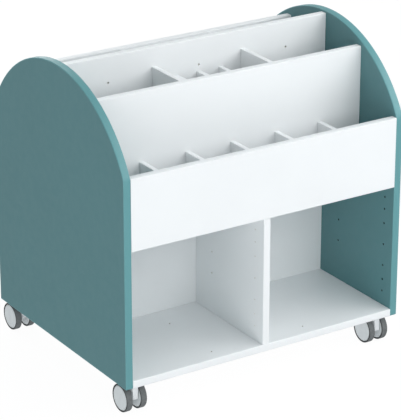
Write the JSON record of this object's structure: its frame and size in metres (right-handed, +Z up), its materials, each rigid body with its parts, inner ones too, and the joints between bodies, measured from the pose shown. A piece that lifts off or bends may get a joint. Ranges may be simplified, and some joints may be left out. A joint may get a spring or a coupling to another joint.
{
  "type": "storage trolley",
  "caption": "Double-sided mobile storage trolley: arched end panels, open cubbies below, divided book bins and a divided upper tier on both sides, on twin-wheel swivel castors.",
  "frame": {"origin": "on the floor, below the middle of the bounding box with the castors as stored", "axes": "+X to the right along the width, -Y towards the front, +Z up; the castors trail towards +Y"},
  "size_m": [0.75, 0.6014, 0.7595],
  "materials": {
    "teal_board": "satin teal melamine",
    "white_board": "satin white melamine",
    "zinc_steel": "zinc plated",
    "white_nylon": "matt",
    "light_grey_plastic": "satin",
    "grey_rubber": "matt"
  },
  "bodies": {
    "carcass": {"left_side_panel": "teal_board", "right_side_panel": "teal_board", "base_panel": "white_board", "spine_panel": "white_board", "front_lower_divider": "white_board", "front_shelf": "white_board", "front_bin_panel": "white_board", "front_mid_panel": "white_board", "front_bin_divider_1": "white_board", "front_bin_divider_2": "white_board", "front_bin_divider_3": "white_board", "front_bin_divider_4": "white_board", "front_bin_divider_5": "white_board", "front_tall_divider_left": "white_board", "front_tall_divider_right": "white_board", "front_low_divider_1": "white_board", "front_low_divider_2": "white_board", "front_low_divider_3": "white_board", "rear_lower_divider": "white_board", "rear_shelf": "white_board", "rear_bin_panel": "white_board", "rear_mid_panel": "white_board", "rear_bin_divider_1": "white_board", "rear_bin_divider_2": "white_board", "rear_bin_divider_3": "white_board", "rear_bin_divider_4": "white_board", "rear_bin_divider_5": "white_board", "rear_tall_divider_left": "white_board", "rear_tall_divider_right": "white_board", "rear_low_divider_1": "white_board", "rear_low_divider_2": "white_board", "rear_low_divider_3": "white_board", "front_left_castor_plate": "zinc_steel", "front_right_castor_plate": "zinc_steel", "rear_left_castor_plate": "zinc_steel", "rear_right_castor_plate": "zinc_steel"},
    "front_left_castor_swivel": {"front_left_castor_bracket": "white_nylon", "front_left_castor_axle": "zinc_steel"},
    "front_left_castor_wheel_left": {"front_left_castor_hub_left": "light_grey_plastic", "front_left_castor_tyre_left": "grey_rubber"},
    "front_left_castor_wheel_right": {"front_left_castor_hub_right": "light_grey_plastic", "front_left_castor_tyre_right": "grey_rubber"},
    "front_right_castor_swivel": {"front_right_castor_bracket": "white_nylon", "front_right_castor_axle": "zinc_steel"},
    "front_right_castor_wheel_left": {"front_right_castor_hub_left": "light_grey_plastic", "front_right_castor_tyre_left": "grey_rubber"},
    "front_right_castor_wheel_right": {"front_right_castor_hub_right": "light_grey_plastic", "front_right_castor_tyre_right": "grey_rubber"},
    "rear_left_castor_swivel": {"rear_left_castor_bracket": "white_nylon", "rear_left_castor_axle": "zinc_steel"},
    "rear_left_castor_wheel_left": {"rear_left_castor_hub_left": "light_grey_plastic", "rear_left_castor_tyre_left": "grey_rubber"},
    "rear_left_castor_wheel_right": {"rear_left_castor_hub_right": "light_grey_plastic", "rear_left_castor_tyre_right": "grey_rubber"},
    "rear_right_castor_swivel": {"rear_right_castor_bracket": "white_nylon", "rear_right_castor_axle": "zinc_steel"},
    "rear_right_castor_wheel_left": {"rear_right_castor_hub_left": "light_grey_plastic", "rear_right_castor_tyre_left": "grey_rubber"},
    "rear_right_castor_wheel_right": {"rear_right_castor_hub_right": "light_grey_plastic", "rear_right_castor_tyre_right": "grey_rubber"}
  },
  "joints": [
    {"name": "front_left_castor_swivel", "type": "hinge", "parent": "carcass", "child": "front_left_castor_swivel", "pos_m": [-0.337, -0.2652, 0.0755], "axis": [0, 0, 1], "continuous": true},
    {"name": "front_left_castor_wheel_left_spin", "type": "hinge", "parent": "front_left_castor_swivel", "child": "front_left_castor_wheel_left", "pos_m": [-0.3555, -0.2517, 0.0334], "axis": [1, 0, 0], "continuous": true},
    {"name": "front_left_castor_wheel_right_spin", "type": "hinge", "parent": "front_left_castor_swivel", "child": "front_left_castor_wheel_right", "pos_m": [-0.3185, -0.2517, 0.0334], "axis": [1, 0, 0], "continuous": true},
    {"name": "front_right_castor_swivel", "type": "hinge", "parent": "carcass", "child": "front_right_castor_swivel", "pos_m": [0.337, -0.2652, 0.0755], "axis": [0, 0, 1], "continuous": true},
    {"name": "front_right_castor_wheel_left_spin", "type": "hinge", "parent": "front_right_castor_swivel", "child": "front_right_castor_wheel_left", "pos_m": [0.3185, -0.2517, 0.0334], "axis": [1, 0, 0], "continuous": true},
    {"name": "front_right_castor_wheel_right_spin", "type": "hinge", "parent": "front_right_castor_swivel", "child": "front_right_castor_wheel_right", "pos_m": [0.3555, -0.2517, 0.0334], "axis": [1, 0, 0], "continuous": true},
    {"name": "rear_left_castor_swivel", "type": "hinge", "parent": "carcass", "child": "rear_left_castor_swivel", "pos_m": [-0.337, 0.2538, 0.0755], "axis": [0, 0, 1], "continuous": true},
    {"name": "rear_left_castor_wheel_left_spin", "type": "hinge", "parent": "rear_left_castor_swivel", "child": "rear_left_castor_wheel_left", "pos_m": [-0.3555, 0.2673, 0.0334], "axis": [1, 0, 0], "continuous": true},
    {"name": "rear_left_castor_wheel_right_spin", "type": "hinge", "parent": "rear_left_castor_swivel", "child": "rear_left_castor_wheel_right", "pos_m": [-0.3185, 0.2673, 0.0334], "axis": [1, 0, 0], "continuous": true},
    {"name": "rear_right_castor_swivel", "type": "hinge", "parent": "carcass", "child": "rear_right_castor_swivel", "pos_m": [0.337, 0.2538, 0.0755], "axis": [0, 0, 1], "continuous": true},
    {"name": "rear_right_castor_wheel_left_spin", "type": "hinge", "parent": "rear_right_castor_swivel", "child": "rear_right_castor_wheel_left", "pos_m": [0.3185, 0.2673, 0.0334], "axis": [1, 0, 0], "continuous": true},
    {"name": "rear_right_castor_wheel_right_spin", "type": "hinge", "parent": "rear_right_castor_swivel", "child": "rear_right_castor_wheel_right", "pos_m": [0.3555, 0.2673, 0.0334], "axis": [1, 0, 0], "continuous": true}
  ]
}
